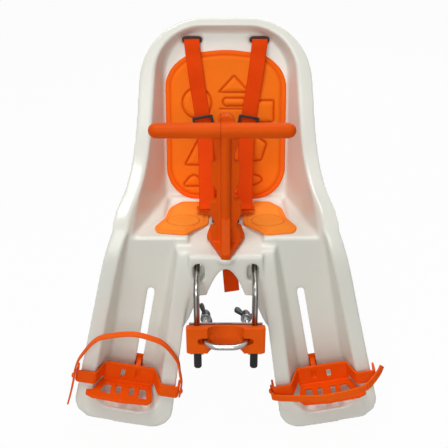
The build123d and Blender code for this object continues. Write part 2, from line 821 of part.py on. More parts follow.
for name, side, turn in zip(("wing_nut_right", "wing_nut_left"), (1, -1), wing_turns):
    with BuildPart() as wing_nut:
        with BuildSketch(Plane.XZ.offset(-nut_y)):
            with Locations((side * bolt_x, 0)):
                Circle(nut_hub_radius)
        extrude(amount=-nut_height, taper=6)
        wing_plane = Plane(
            origin=(side * bolt_x, 0, 0),
            x_dir=(0, 1, 0),
            z_dir=(cos(radians(turn)), 0, -side * sin(radians(turn))),
        )
        with BuildSketch(wing_plane.offset(-wing_thickness / 2)):
            with BuildLine():
                Polyline(
                    (nut_y + 3, 0),
                    (nut_y + 5, 5),
                    (nut_y + 8, wing_reach),
                    (nut_y + 16, wing_reach),
                    (nut_y + 19, wing_reach - 6),
                    (nut_y + nut_height - 1, 4.5),
                    (nut_y + nut_height - 1, 0),
                    close=True,
                )
            wing = make_face()
            fillet(wing.vertices().sort_by(Axis.Y)[-3:], 3)
            mirror(about=Plane.XZ)
        extrude(amount=wing_thickness)
        with BuildSketch(Plane.XZ.offset(-nut_y + 2)):
            with Locations((side * bolt_x, 0)):
                Circle(bolt_radius + thread_gap)
        extrude(amount=-30, mode=Mode.SUBTRACT)
    wing_nut.part.label = name
    export_step(wing_nut.part, f"parts/{name}.step")

# Shoulder straps: webbing from the keeper behind the back, over the pad, down to the buckle tongue
with BuildPart() as shoulder_strap_right:
    with BuildSketch(Plane.YZ):
        with BuildLine():
            FilletPolyline(
                on_panel(shoulder_slot_s, -keeper_far - strap_roll),
                on_panel(shoulder_slot_s, strap_rise - 1),
                on_panel(shoulder_slot_s - 22, strap_rise),
                on_panel(adjuster_s - 15, strap_rise),
                (tongue_slot_y + 1.5, tongue_z + 16),
                (tongue_slot_y, tongue_z - tongue_thickness / 2 - strap_roll),
                radius=3,
            )
        trace(line_width=strap_thickness)
        with Locations(on_panel(shoulder_slot_s, -keeper_far - strap_roll)):
            Circle(strap_roll)
        with Locations((tongue_slot_y, tongue_z - tongue_thickness / 2 - strap_roll)):
            Circle(strap_roll)
    extrude(amount=100)
    with BuildSketch(Plane.XZ):
        with BuildLine():
            FilletPolyline(
                (shoulder_slot_x, on_panel(shoulder_slot_s, 0)[1] + strap_width),
                (shoulder_slot_x, on_panel(shoulder_slot_s - 15, 0)[1]),
                (adjuster_x, on_panel(adjuster_s, 0)[1]),
                (lower_strap_x, tongue_z + 30),
                (lower_strap_x, 100),
                radius=30,
            )
        trace(line_width=strap_width)
    extrude(amount=-320, mode=Mode.INTERSECT)
shoulder_strap_right.part.label = "shoulder_strap_right"
export_step(shoulder_strap_right.part, "parts/shoulder_strap_right.step")

with BuildPart() as shoulder_strap_left:
    mirror(shoulder_strap_right.part, about=Plane.YZ)
shoulder_strap_left.part.label = "shoulder_strap_left"
export_step(shoulder_strap_left.part, "parts/shoulder_strap_left.step")

# Keepers: slotted plates on the back of the shell that the strap rolls pull against
with BuildPart() as strap_keeper_right:
    with BuildSketch(panel_plane.offset(-shell_wall)):
        with Locations((shoulder_slot_x, shoulder_slot_s)):
            RectangleRounded(shoulder_slot_size[0] + 12, 20, 3)
            Rectangle(strap_width + 1.2, strap_thickness + 1.0, mode=Mode.SUBTRACT)
    extrude(amount=-keeper_far + shell_wall)
strap_keeper_right.part.label = "strap_keeper_right"
export_step(strap_keeper_right.part, "parts/strap_keeper_right.step")

with BuildPart() as strap_keeper_left:
    mirror(strap_keeper_right.part, about=Plane.YZ)
strap_keeper_left.part.label = "strap_keeper_left"
export_step(strap_keeper_left.part, "parts/strap_keeper_left.step")

# Adjusters: open frames on the face of the shoulder straps
adjuster_plane = Plane(
    origin=(adjuster_x, *on_panel(adjuster_s, strap_rise + strap_thickness / 2 + 0.2)),
    x_dir=(cos(radians(adjuster_turn)), 0, sin(radians(adjuster_turn)) * recline_cos),
    z_dir=panel_plane.z_dir,
)
with BuildPart() as strap_adjuster_right:
    with BuildSketch(adjuster_plane):
        RectangleRounded(adjuster_size[0], adjuster_size[1], 2.5)
        RectangleRounded(adjuster_size[0] - 7, adjuster_size[1] - 7, 1.5, mode=Mode.SUBTRACT)
    extrude(amount=adjuster_size[2])
strap_adjuster_right.part.label = "strap_adjuster_right"
export_step(strap_adjuster_right.part, "parts/strap_adjuster_right.step")

with BuildPart() as strap_adjuster_left:
    mirror(strap_adjuster_right.part, about=Plane.YZ)
strap_adjuster_left.part.label = "strap_adjuster_left"
export_step(strap_adjuster_left.part, "parts/strap_adjuster_left.step")

# Buckle: body on the crotch strap, release button and the two strap tongues
with BuildPart() as buckle_body:
    with BuildSketch(Plane.XY.offset(buckle_z - buckle_size[2] / 2)):
        with Locations((0, buckle_y)):
            RectangleRounded(buckle_size[0], buckle_size[1], 5)
    extrude(amount=buckle_size[2])
    fillet(buckle_body.faces().sort_by(Axis.Z)[-1].edges(), 2)
    with BuildSketch(Plane.XY.offset(buckle_top_z)):
        with Locations((0, buckle_y)):
            Rectangle(button_size[0] + 2 * button_gap, button_size[1] + 2 * button_gap)
    extrude(amount=-button_size[2] - 1, mode=Mode.SUBTRACT)
    with BuildSketch(Plane.XZ.offset(-buckle_y - buckle_size[1] / 2 - 1)):
        with Locations((-tongue_nose_x, tongue_z), (tongue_nose_x, tongue_z)):
            Rectangle(tongue_nose_width, tongue_thickness)
    extrude(amount=tongue_nose_depth + 1, mode=Mode.SUBTRACT)
    with BuildSketch(Plane.XY.offset(buckle_z - buckle_size[2] / 2)):
        with Locations((crotch_x, crotch_slot_y)):
            Rectangle(strap_width + 1, strap_thickness)
    extrude(amount=buckle_strap_depth, mode=Mode.SUBTRACT)
buckle_body.part.label = "buckle_body"
export_step(buckle_body.part, "parts/buckle_body.step")

with BuildPart() as buckle_button:
    with BuildSketch(Plane.XY.offset(buckle_top_z + button_stroke - button_size[2])):
        with Locations((0, buckle_y)):
            Rectangle(button_size[0], button_size[1])
    extrude(amount=button_size[2])
    fillet(buckle_button.faces().sort_by(Axis.Z)[-1].edges(), 1)
buckle_button.part.label = "buckle_button"
export_step(buckle_button.part, "parts/buckle_button.step")

with BuildPart() as buckle_tongue_right:
    with BuildSketch(Plane.XY.offset(tongue_z - tongue_thickness / 2)):
        with BuildLine():
            nose_y = buckle_y + buckle_size[1] / 2
            Polyline(
                (tongue_nose_x - tongue_nose_width / 2, nose_y - tongue_nose_depth),
                (tongue_nose_x + tongue_nose_width / 2, nose_y - tongue_nose_depth),
                (tongue_nose_x + tongue_nose_width / 2, nose_y + 1),
                (lower_strap_x + strap_width / 2 + 4, tongue_slot_y - 6),
                (lower_strap_x + strap_width / 2 + 4, tongue_slot_y + 6),
                (lower_strap_x - strap_width / 2 - 4, tongue_slot_y + 6),
                (tongue_nose_x - tongue_nose_width / 2, nose_y + 1),
                close=True,
            )
        make_face()
        with Locations((lower_strap_x, tongue_slot_y)):
            Rectangle(strap_width + 1, strap_thickness + 1.2, mode=Mode.SUBTRACT)
    extrude(amount=tongue_thickness)
buckle_tongue_right.part.label = "buckle_tongue_right"
export_step(buckle_tongue_right.part, "parts/buckle_tongue_right.step")

with BuildPart() as buckle_tongue_left:
    mirror(buckle_tongue_right.part, about=Plane.YZ)
buckle_tongue_left.part.label = "buckle_tongue_left"
export_step(buckle_tongue_left.part, "parts/buckle_tongue_left.step")

# Crotch strap: webbing from the buckle down through the pan, its tail in the pommel arch
with BuildPart() as crotch_strap:
    with BuildSketch(Plane.XZ.offset(-crotch_slot_y - strap_thickness / 2)):
        with BuildLine():
            Polyline(
                (crotch_x - strap_width / 2, crotch_tail_z + 4),
                (crotch_x + strap_width / 2, crotch_tail_z),
                (crotch_x + strap_width / 2, buckle_z - buckle_size[2] / 2 + buckle_strap_depth),
                (crotch_x - strap_width / 2, buckle_z - buckle_size[2] / 2 + buckle_strap_depth),
                close=True,
            )
        make_face()
    extrude(amount=strap_thickness)
crotch_strap.part.label = "crotch_strap"
export_step(crotch_strap.part, "parts/crotch_strap.step")

# Footrests: back plate and foot plate in the channel, arms over both rims, spigot in the slot
with BuildPart() as footrest_right:
    with BuildSketch(leg_plane.offset(rest_depth)):
        with Locations(((leg_outer - leg_inner) / 2, (rest_low + rest_high) / 2)):
            RectangleRounded(leg_outer + leg_inner + 2 * rest_depth * draft - 5, rest_high - rest_low, 5)
        with Locations((-1.5, -60), (20, -62)):
            Rectangle(6, 14, rotation=0, mode=Mode.SUBTRACT)
    extrude(amount=rest_thickness)
    with BuildSketch(leg_top_plane.offset(rest_low)):
        with BuildLine():
            Polyline(
                (-20.5, -rest_depth),
                (45, -rest_depth),
                (50, -28),
                (56, -46),
                (58, -52),
                (67, -54),
                (66, -62),
                (56, -67),
                (14, -69),
                (-22, -66),
                (-28, -58),
                (-24, -28),
                close=True,
            )
        make_face()
        with Locations((3, -44), (22, -44)):
            Rectangle(7, 18, mode=Mode.SUBTRACT)
        with BuildLine():
            Polyline((-17, -35), (-8, -35), (-8, -57), (-20, -57), close=True)
        make_face(mode=Mode.SUBTRACT)
        with BuildLine():
            Polyline((33, -35), (42, -35), (47, -48), (47, -54), (33, -57), close=True)
        make_face(mode=Mode.SUBTRACT)
    extrude(amount=rest_thickness)
    with BuildSketch(leg_top_plane.offset(arm_low)):
        with BuildLine():
            FilletPolyline(
                (30, -rest_depth - rest_thickness / 2),
                (leg_outer - 3.6 + rest_depth * draft, -rest_depth - rest_thickness / 2),
                (leg_outer - 2.8 + outer_arm_front * draft, -outer_arm_front),
                (outer_arm_end, -outer_arm_front),
                (outer_arm_end, -outer_arm_front + 17),
                radius=4,
            )
        trace(line_width=arm_thickness)
        with BuildLine():
            FilletPolyline(
                (-8, -rest_depth - rest_thickness / 2),
                (-leg_inner + 3.6 - rest_depth * draft, -rest_depth - rest_thickness / 2),
                (-leg_inner + 2.8 - inner_arm_front * draft, -inner_arm_front),
                (-inner_arm_end, -inner_arm_front),
                (-inner_arm_end, -inner_arm_front + 17),
                radius=4,
            )
        trace(line_width=arm_thickness)
    extrude(amount=arm_high - arm_low)
    with BuildSketch(leg_plane.offset(rest_depth + 1)):
        with Locations((0, (spigot_low + spigot_high) / 2)):
            Rectangle(slot_width - 1, spigot_high - spigot_low)
    extrude(amount=-rest_depth - 1 - shell_wall - keeper_gap)
    with BuildSketch(leg_plane.offset(rest_thickness)):
        with Locations((0, (spigot_low + spigot_high) / 2)):
            Circle(keeper_screw_radius)
    extrude(amount=-20, mode=Mode.SUBTRACT)
footrest_right.part.label = "footrest_right"
export_step(footrest_right.part, "parts/footrest_right.step")

with BuildPart() as footrest_left:
    mirror(footrest_right.part, about=Plane.YZ)
footrest_left.part.label = "footrest_left"
export_step(footrest_left.part, "parts/footrest_left.step")

# Footrest keepers: plates and screws behind the leg walls
with BuildPart() as footrest_keeper_right:
    with BuildSketch(leg_plane.offset(-shell_wall - keeper_gap)):
        with Locations((0, (spigot_low + spigot_high) / 2)):
            RectangleRounded(slot_width + 14, spigot_high - spigot_low + 10, 4)
            Circle(keeper_screw_radius, mode=Mode.SUBTRACT)
    extrude(amount=-keeper_thickness)
footrest_keeper_right.part.label = "footrest_keeper_right"
export_step(footrest_keeper_right.part, "parts/footrest_keeper_right.step")

with BuildPart() as footrest_keeper_left:
    mirror(footrest_keeper_right.part, about=Plane.YZ)
footrest_keeper_left.part.label = "footrest_keeper_left"
export_step(footrest_keeper_left.part, "parts/footrest_keeper_left.step")

with BuildPart() as keeper_screw_right:
    with BuildSketch(leg_plane.offset(-shell_wall - keeper_gap - keeper_thickness)):
        with Locations((0, (spigot_low + spigot_high) / 2)):
            Circle(keeper_screw_radius * 2)
    extrude(amount=-2.4)
    with BuildSketch(leg_plane.offset(-shell_wall - keeper_gap - keeper_thickness)):
        with Locations((0, (spigot_low + spigot_high) / 2)):
            Circle(keeper_screw_radius)
    extrude(amount=keeper_screw_length)
keeper_screw_right.part.label = "keeper_screw_right"
export_step(keeper_screw_right.part, "parts/keeper_screw_right.step")

with BuildPart() as keeper_screw_left:
    mirror(keeper_screw_right.part, about=Plane.YZ)
keeper_screw_left.part.label = "keeper_screw_left"
export_step(keeper_screw_left.part, "parts/keeper_screw_left.step")

# Foot straps: the left one closed as a loop over the foot, the right one laid across the front
outer_strap = outer_arm_end + arm_thickness / 2 + foot_strap_thickness / 2 + 0.3
inner_strap = inner_arm_end + arm_thickness / 2 + foot_strap_thickness / 2 + 0.3
with BuildPart() as loop_strap:
    with BuildSketch(leg_plane.offset(foot_strap_near)):
        with BuildLine():
            FilletPolyline(
                (-inner_strap, arm_low + 2),
                (-inner_strap, arm_low + 24),
                (-inner_strap + 12.5, arm_low + 63),
                (-inner_strap + 36, arm_low + 87),
                (14, 30),
                (outer_strap - 25, 12),
                (outer_strap - 7, arm_low + 49),
                (outer_strap, arm_low + 24),
                (outer_strap, arm_low + 2),
                (outer_strap + 1.5, arm_low - 19),
                (outer_strap + 3.5, arm_low - 40),
                radius=22,
            )
        trace(line_width=foot_strap_thickness)
    extrude(amount=foot_strap_far - foot_strap_near)
with BuildPart() as foot_strap_left:
    mirror(loop_strap.part, about=Plane.YZ)
foot_strap_left.part.label = "foot_strap_left"
export_step(foot_strap_left.part, "parts/foot_strap_left.step")

with BuildPart() as foot_strap_right:
    with BuildSketch(leg_top_plane.offset(arm_low - 20)):
        with BuildLine():
            FilletPolyline(
                (-inner_strap, -inner_arm_front + 16),
                (-inner_strap, -inner_arm_front - 8),
                (10, -73),
                (68, -71),
                (outer_strap + 9, -50),
                radius=9,
            )
        trace(line_width=foot_strap_thickness)
    extrude(amount=80)
    with BuildSketch(leg_plane):
        with BuildLine():
            FilletPolyline(
                (-inner_strap - 8, arm_low + 7),
                (10, arm_low + 2),
                (70, arm_low + 6),
                (outer_strap + 14, arm_low + 26),
                radius=40,
            )
        trace(line_width=foot_strap_far - foot_strap_near + 2)
    extrude(amount=100, mode=Mode.INTERSECT)
foot_strap_right.part.label = "foot_strap_right"
export_step(foot_strap_right.part, "parts/foot_strap_right.step")
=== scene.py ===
"""Front-mount child bike seat: moulded shell, foam pads, grab handle, harness, footrests and stem clamp."""
from math import atan2, cos, pi, radians, sin

import bmesh
import bpy
import numpy as np
from mathutils import Matrix, Vector
from mathutils.geometry import interpolate_bezier, intersect_line_line_2d


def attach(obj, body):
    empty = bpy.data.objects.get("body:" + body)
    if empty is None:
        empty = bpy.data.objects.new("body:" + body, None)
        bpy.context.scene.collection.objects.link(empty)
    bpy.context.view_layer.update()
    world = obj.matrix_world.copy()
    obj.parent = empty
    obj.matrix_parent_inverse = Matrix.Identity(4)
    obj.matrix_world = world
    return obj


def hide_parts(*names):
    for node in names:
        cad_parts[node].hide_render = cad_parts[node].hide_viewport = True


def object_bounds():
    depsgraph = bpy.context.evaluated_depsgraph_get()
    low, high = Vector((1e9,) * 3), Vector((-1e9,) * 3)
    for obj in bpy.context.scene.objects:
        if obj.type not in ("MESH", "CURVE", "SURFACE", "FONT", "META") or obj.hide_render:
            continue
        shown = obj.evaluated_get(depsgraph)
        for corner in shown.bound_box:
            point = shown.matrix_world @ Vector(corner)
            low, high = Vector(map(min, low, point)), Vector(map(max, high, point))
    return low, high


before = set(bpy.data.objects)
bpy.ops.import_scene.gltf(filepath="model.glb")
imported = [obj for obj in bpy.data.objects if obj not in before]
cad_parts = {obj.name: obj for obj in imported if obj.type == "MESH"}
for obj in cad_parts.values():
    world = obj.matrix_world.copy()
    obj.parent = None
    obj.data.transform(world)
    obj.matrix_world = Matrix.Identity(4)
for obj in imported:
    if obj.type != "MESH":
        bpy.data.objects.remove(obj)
cad_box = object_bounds()


# Seat shell: one thin-walled moulding in ivory polypropylene with leg guards, a rolled rim and a
# pommel between the legs. It leaves the mould with every corner rounded and a soft gloss.
class Shade:
    """A shader socket that takes part in sums, so that a finish reads as an expression."""

    def __init__(self, tree, socket=None):
        self.tree = tree
        self.socket = socket

    def node(self, kind, settings=(), output=0, **inputs):
        """A new node's output: settings are set first, then the values or links of its sockets."""
        made = self.tree.nodes.new("ShaderNode" + kind)
        for name, value in dict(settings).items():
            setattr(made, name, value)
        for name, value in inputs.items():
            key = int(name[1:]) if name[0] == "i" and name[1:].isdigit() else name.replace("_", " ")
            target = made.inputs[key]
            if isinstance(value, Shade):
                self.tree.links.new(value.socket, target)
            elif target.type == "RGBA":
                target.default_value = (*value, 1.0)
            else:
                target.default_value = value
        return Shade(self.tree, made.outputs[output])

    def math(self, operation, other=0.0):
        return self.node("Math", {"operation": operation}, i0=self, i1=other)

    def __add__(self, other):
        return self.math("ADD", other)

    def __sub__(self, other):
        return self.math("SUBTRACT", other)

    def __mul__(self, other):
        return self.math("MULTIPLY", other)

    def __rsub__(self, other):
        return self.node("Math", {"operation": "SUBTRACT"}, i0=other, i1=self)

    __radd__ = __add__
    __rmul__ = __mul__

    def ease(self, low, high):
        """0 below low, 1 above high and smooth between."""
        settings = {"clamp": True, "interpolation_type": "SMOOTHSTEP"}
        return self.node("MapRange", settings, Value=self, From_Min=low, From_Max=high)

    def mix(self, one, two):
        """Colour one where this is 0, two where it is 1."""
        return self.node("Mix", {"data_type": "RGBA"}, output=2, i0=self, i6=one, i7=two)

    def noise(self, scale, detail=2.0):
        return self.node("TexNoise", Vector=self, Scale=scale, Detail=detail)

    def part(self, axis):
        return self.node("SeparateXYZ", output=axis, Vector=self)

    def bump(self, depth, strength=1.0):
        """A normal from this height, where 1 is depth metres proud."""
        return self.node("Bump", Strength=strength, Distance=depth, Height=self)

    def own(self, name):
        """An attribute that the piece carries."""
        return self.node("Attribute", {"attribute_name": name}, output=2)


def finish(name, constants, build):
    """A material: constants go on the shader's sockets, build gives the inputs that vary."""
    material = bpy.data.materials.new(name)
    material.use_nodes = True
    tree = material.node_tree
    shader = tree.nodes["Principled BSDF"]
    for key, value in constants.items():
        shader.inputs[key].default_value = (*value, 1.0) if key.endswith("Color") else value
    place = Shade(tree).node("TexCoord", output="Object")
    for key, value in build(place).items():
        tree.links.new(value.socket, shader.inputs[key])
    return material


def moulded_plastic(tones, cloud, rough, grain):
    """Plastic clouded between two tones. cloud is scale and detail, rough its least and its spread,
    grain the scale, depth and strength of the mould's texture."""
    def build(place):
        drift = place.noise(*cloud)
        least, spread = rough
        scale, depth, strength = grain
        return {"Base Color": drift.mix(*tones), "Roughness": drift * spread + least,
                "Normal": place.noise(scale).bump(depth, strength)}
    return build


def added(name, mesh, body, material):
    """A finished piece at the origin, riding on its body."""
    piece = bpy.data.objects.new(name, mesh)
    bpy.context.scene.collection.objects.link(piece)
    mesh.materials.clear()
    mesh.materials.append(material)
    for face in mesh.polygons:
        face.use_smooth = True
    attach(piece, body)
    return piece


def softened(node, voxel, rounds):
    """The node's own shape with its edges rounded as a mould leaves them."""
    shape = bmesh.new()
    shape.from_mesh(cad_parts[node].data)
    bmesh.ops.remove_doubles(shape, verts=shape.verts, dist=1e-5)
    mesh = bpy.data.meshes.new(node)
    shape.to_mesh(mesh)
    shape.free()
    form = bpy.data.objects.new(node + "_form", mesh)
    bpy.context.scene.collection.objects.link(form)
    skin = form.modifiers.new("skin", "REMESH")
    skin.mode = "VOXEL"
    skin.voxel_size = voxel
    ease = form.modifiers.new("ease", "SMOOTH")
    ease.factor = 0.5
    ease.iterations = rounds
    graph = bpy.context.evaluated_depsgraph_get()
    smooth = bpy.data.meshes.new_from_object(form.evaluated_get(graph))
    bpy.data.objects.remove(form)
    return smooth


def thinned(mesh, share):
    """A lighter mesh of the same shape that still shades like the full one."""
    for face in mesh.polygons:
        face.use_smooth = True
    full = bpy.data.objects.new("full", mesh)
    light = bpy.data.objects.new("light", mesh.copy())
    for form in (full, light):
        bpy.context.scene.collection.objects.link(form)
    thin = light.modifiers.new("thin", "DECIMATE")
    thin.ratio = share
    shading = light.modifiers.new("shading", "DATA_TRANSFER")
    shading.object = full
    shading.use_loop_data = True
    shading.data_types_loops = {"CUSTOM_NORMAL"}
    shading.loop_mapping = "POLYINTERP_NEAREST"
    graph = bpy.context.evaluated_depsgraph_get()
    result = bpy.data.meshes.new_from_object(light.evaluated_get(graph))
    for form in (full, light):
        bpy.data.objects.remove(form)
    return result


ivory = moulded_plastic(tones=((0.755, 0.752, 0.672), (0.79, 0.792, 0.718)), cloud=(7.0, 3.0),
                        rough=(0.16, 0.10), grain=(1100.0, 0.00006, 0.3))
shell_white = finish("shell_white", {"Base Color": (0.77, 0.77, 0.695)}, ivory)
shell_voxel, shell_rounds, shell_share = 0.0016, 24, 0.40
shell_mesh = thinned(softened("seat_shell", shell_voxel, shell_rounds), shell_share)
seat_shell = added("shell", shell_mesh, "seat", shell_white)
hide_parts("seat_shell")


# Back pad: foam pressed hot between two plates and glued to the back panel. The press leaves a thin
# border, a plump middle and engraved outlines of plain shapes; the face is a fine-pebbled skin.
millimetre = 0.001
full_turn = 2.0 * pi
panel_lean = radians(15.0)
panel_foot = Vector((0.0, 0.200, 0.115))
panel_up = Vector((0.0, sin(panel_lean), cos(panel_lean)))
panel_out = Vector((0.0, -cos(panel_lean), sin(panel_lean)))


def on_panel(across, up, out):
    """A point on the back panel, in millimetres across, up it and out from it."""
    return panel_foot + (Vector((across, 0.0, 0.0)) + panel_up * up + panel_out * out) * millimetre


def smooth_step(value):
    value = np.clip(value, 0.0, 1.0)
    return value * value * (3.0 - 2.0 * value)


def edge_distance(points, corners, closed=True):
    """How far each point lies from a line of corners, in millimetres."""
    ends = corners[1:] + corners[:1] if closed else corners[1:]
    best = np.full(len(points), np.inf)
    for start, end in zip(corners, ends):
        start, along = np.array(start), np.array(end) - np.array(start)
        share = np.clip(((points - start) @ along) / (along @ along), 0.0, 1.0)
        best = np.minimum(best, np.hypot(*(points - start - share[:, None] * along).T))
    return best


def inside(points, corners):
    """Which points lie within a ring of corners."""
    x, y = points.T
    odd = np.zeros(len(points), bool)
    for (x0, y0), (x1, y1) in zip(corners, corners[1:] + corners[:1]):
        if y0 != y1:
            odd ^= ((y0 > y) != (y1 > y)) & (x < (x1 - x0) * (y - y0) / (y1 - y0) + x0)
    return odd


def ring(across, up, half_wide, half_high, corners=40, turn=0.0):
    """Corners of an ellipse, or of a regular shape when they are few."""
    angles = [radians(turn) + full_turn * i / corners for i in range(corners)]
    return [(across + half_wide * cos(a), up + half_high * sin(a)) for a in angles]


def rounded(corners, radius, segments=6):
    """A flat outline with its corners rounded."""
    flat = bmesh.new()
    flat.faces.new([flat.verts.new((x, y, 0.0)) for x, y in corners])
    bmesh.ops.bevel(flat, geom=flat.verts[:], offset=radius, offset_type="OFFSET", affect="VERTICES",
                    segments=segments, profile=0.5, material=-1)
    outline = [(vert.co.x, vert.co.y) for vert in flat.faces[:][0].verts]
    flat.free()
    return outline


def pressed_pad(outline, centre, height, place, mirrored):
    """A pad drawn out from a disc of rings and spokes to its outline and raised by height. A mirrored
    one is half a pad whose outline is open on its middle line."""
    spokes, rings, far = 480, 100, 400.0
    border_width, border_fade, hem_rise, seam_merge = 9.5, 3.0, 0.1, 0.02
    disc = bmesh.new()
    chain = [disc.verts.new((i / rings, 0.0, 0.0)) for i in range(rings + 1)]
    spoke = [disc.edges.new(pair) for pair in zip(chain, chain[1:])]
    bmesh.ops.spin(disc, geom=chain + spoke, cent=(0, 0, 0), axis=(0, 0, 1), angle=full_turn,
                   steps=spokes, use_merge=True)
    bmesh.ops.remove_doubles(disc, verts=disc.verts, dist=1e-6)
    middle = Vector(centre)
    reach = []
    for i in range(spokes):
        way = Vector((cos(full_turn * i / spokes), sin(full_turn * i / spokes)))
        hits = [intersect_line_line_2d(middle, middle + way * far, Vector(a), Vector(b))
                for a, b in zip(outline, outline[1:] + outline[:1])]
        reach.append(max((hit - middle).length for hit in hits if hit))
    for vert in disc.verts:
        nearest = round(atan2(vert.co.y, vert.co.x) / full_turn * spokes) % spokes
        flat = middle + vert.co.xy * reach[nearest]
        vert.co = (flat.x, flat.y, 0.0)
    if mirrored:
        bmesh.ops.mirror(disc, geom=disc.verts[:] + disc.edges[:] + disc.faces[:], axis="X",
                         merge_dist=seam_merge)
        bmesh.ops.remove_doubles(disc, verts=disc.verts, dist=seam_merge)
    points = np.array([vert.co.xy for vert in disc.verts])
    points[:, 0] = np.abs(points[:, 0]) if mirrored else points[:, 0]
    depth = edge_distance(points, outline, closed=not mirrored)
    border = disc.verts.layers.float.new("border")
    groove = disc.verts.layers.float.new("groove")
    shares = smooth_step((border_width - depth) / border_fade)
    # height also gives a mask of the grooves, which paints shade into them.
    rises, lines = height(points, depth)
    for vert, rise, share, line in zip(disc.verts, rises, shares, lines):
        vert.co.z = rise
        vert[border] = share
        vert[groove] = line
    hem = bmesh.ops.extrude_edge_only(disc, edges=[edge for edge in disc.edges if edge.is_boundary])
    for vert in [part for part in hem["geom"] if isinstance(part, bmesh.types.BMVert)]:
        vert.co.z = hem_rise
    bmesh.ops.holes_fill(disc, edges=[edge for edge in disc.edges if edge.is_boundary], sides=0)
    for vert in disc.verts:
        vert.co = place(*vert.co)
    bmesh.ops.recalc_face_normals(disc, faces=disc.faces)
    mesh = bpy.data.meshes.new("pad")
    disc.to_mesh(mesh)
    disc.free()
    return mesh


def pressed_face(depth, base, rim, plump, crown):
    """Height of a pad inwards from its edge: a rolled rim over its base, of a rise and a width, then two
    smooth swells, each of a rise, where it starts and a width."""
    roll = np.sqrt(1.0 - (1.0 - np.clip(depth / rim[1], 0.0, 1.0)) ** 2)
    swells = [rise * smooth_step((depth - start) / width) for rise, start, width in (plump, crown)]
    return base + rim[0] * roll + sum(swells)


def pressed_line(away, width):
    """A groove of the press: 1 on its line, fading out to both sides."""
    return np.exp(-(away / width) ** 2)


def back_height(points, depth):
    """The back pad's face and its grooves: thin border, plump middle and engraved shapes. The grooves also
    come as a mask for painted shade.
    """
    border_line, shape_line, rule_line = 1.1, 1.3, 1.2
    border_cut, shape_cut, rule_cut = 1.2, 2.8, 2.2
    cushion, cushion_width, ceiling = 1.5, 7.0, 9.1
    border_at, border_tint = 7.2, 0.6
    rise = pressed_face(depth, 1.6, rim=(3.2, 3.0), plump=(2.2, 7.5, 4.5), crown=(0.6, 10.0, 45.0))
    # border_tint sets both how deep the border groove is cut and how much painted shade it gets.
    lines = border_tint * pressed_line(depth - border_at, border_line)
    rise -= border_cut * lines
    shapes = (
        ring(-41.5, 145.0, 21.0, 21.5),
        rounded([(-10.0, 160.5), (34.0, 160.5), (12.0, 184.0)], 2.5),
        rounded([(-4.0, 141.0), (28.0, 141.0), (28.0, 152.5), (-4.0, 152.5)], 5.0),
        rounded([(42.0, 118.5), (69.5, 118.5), (69.5, 149.0), (42.0, 149.0)], 3.0),
        rounded([(-60.0, 55.5), (-14.0, 55.5), (-36.0, 100.0)], 3.0),
        rounded(ring(39.0, 80.0, 22.0, 22.0, 5, 18.0), 3.0),
        ring(32.0, 34.0, 21.0, 8.5),
        rounded([(-64.0, 24.0), (-32.0, 24.0), (-42.0, 41.0), (-52.0, 40.0)], 6.0),
    )
    for shape in shapes:
        away = edge_distance(points, shape)
        swell = np.where(inside(points, shape), smooth_step(away / cushion_width), 0.0)
        line = pressed_line(away, shape_line)
        rise += cushion * swell - shape_cut * line
        lines = np.maximum(lines, line)
    rule = pressed_line(edge_distance(points, [(-8.0, 137.0), (32.0, 137.0)], closed=False), rule_line)
    return np.minimum(rise - rule_cut * rule, ceiling), np.maximum(lines, rule)


def foam(place, low=(0.98, 0.165, 0.004), high=(1.0, 0.215, 0.012), rim=(1.0, 0.125, 0.002)):
    rim_share, groove_shade_share, groove_shade_tone = 0.75, 0.7, (0.62, 0.050, 0.001)
    pebble = place.node("TexVoronoi", {"feature": "SMOOTH_F1"}, Vector=place, Scale=1400.0)
    cloud = place.noise(14.0, 3.0)
    tone = (place.own("border") * rim_share).mix(cloud.mix(low, high), rim)
    # Painted shade: the foam is darkened along its grooves, where shade falls.
    tone = (place.own("groove") * groove_shade_share).mix(tone, groove_shade_tone)
    return {"Base Color": tone, "Roughness": cloud * 0.12 + 0.55, "Normal": pebble.bump(0.00012, 0.5)}


pad_orange = finish("pad_orange", {"Base Color": (0.97, 0.16, 0.004), "Specular IOR Level": 0.08}, foam)
back_outline = rounded([
    (87.0, 186.0), (58.0, 214.5), (0.0, 221.0), (-58.0, 214.5), (-87.0, 186.0),
    (-87.0, 32.0), (-60.0, 4.0), (60.0, 4.0), (87.0, 32.0),
], 17.0, 7)
pad_mesh = pressed_pad(back_outline, (0.0, 105.0), back_height, on_panel, False)
back_pad = added("back_pad_pressed", pad_mesh, "seat", pad_orange)
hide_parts("back_pad")


# Seat pad: the same pressed foam lying on the pan, two thigh lobes joined at the rear and cut away
# round the crotch strap, each lobe with one oval groove.
def seat_height(points, depth):
    """The seat pad's face over the pan and its grooves, the grooves also as a mask for painted shade."""
    oval_line, oval_cut, oval_shade_share = 1.2, 1.5, 0.6
    cushion, cushion_width, ceiling = 0.45, 6.0, 6.2
    rise = pressed_face(depth, 1.4, rim=(1.9, 2.2), plump=(1.5, 5.5, 4.5), crown=(0.7, 8.0, 22.0))
    oval = ring(59.0, 129.0, 23.0, 17.0)
    away = edge_distance(points, oval)
    line = pressed_line(away, oval_line)
    swell = np.where(inside(points, oval), smooth_step(away / cushion_width), 0.0)
    rise += cushion * swell - oval_cut * line
    return np.minimum(rise, ceiling), oval_shade_share * line


def on_pan(across, back, rise):
    """A point over the pan, in millimetres across, back and up from its floor."""
    pan_floor = 115.0
    return Vector((across, back, pan_floor + rise)) * millimetre


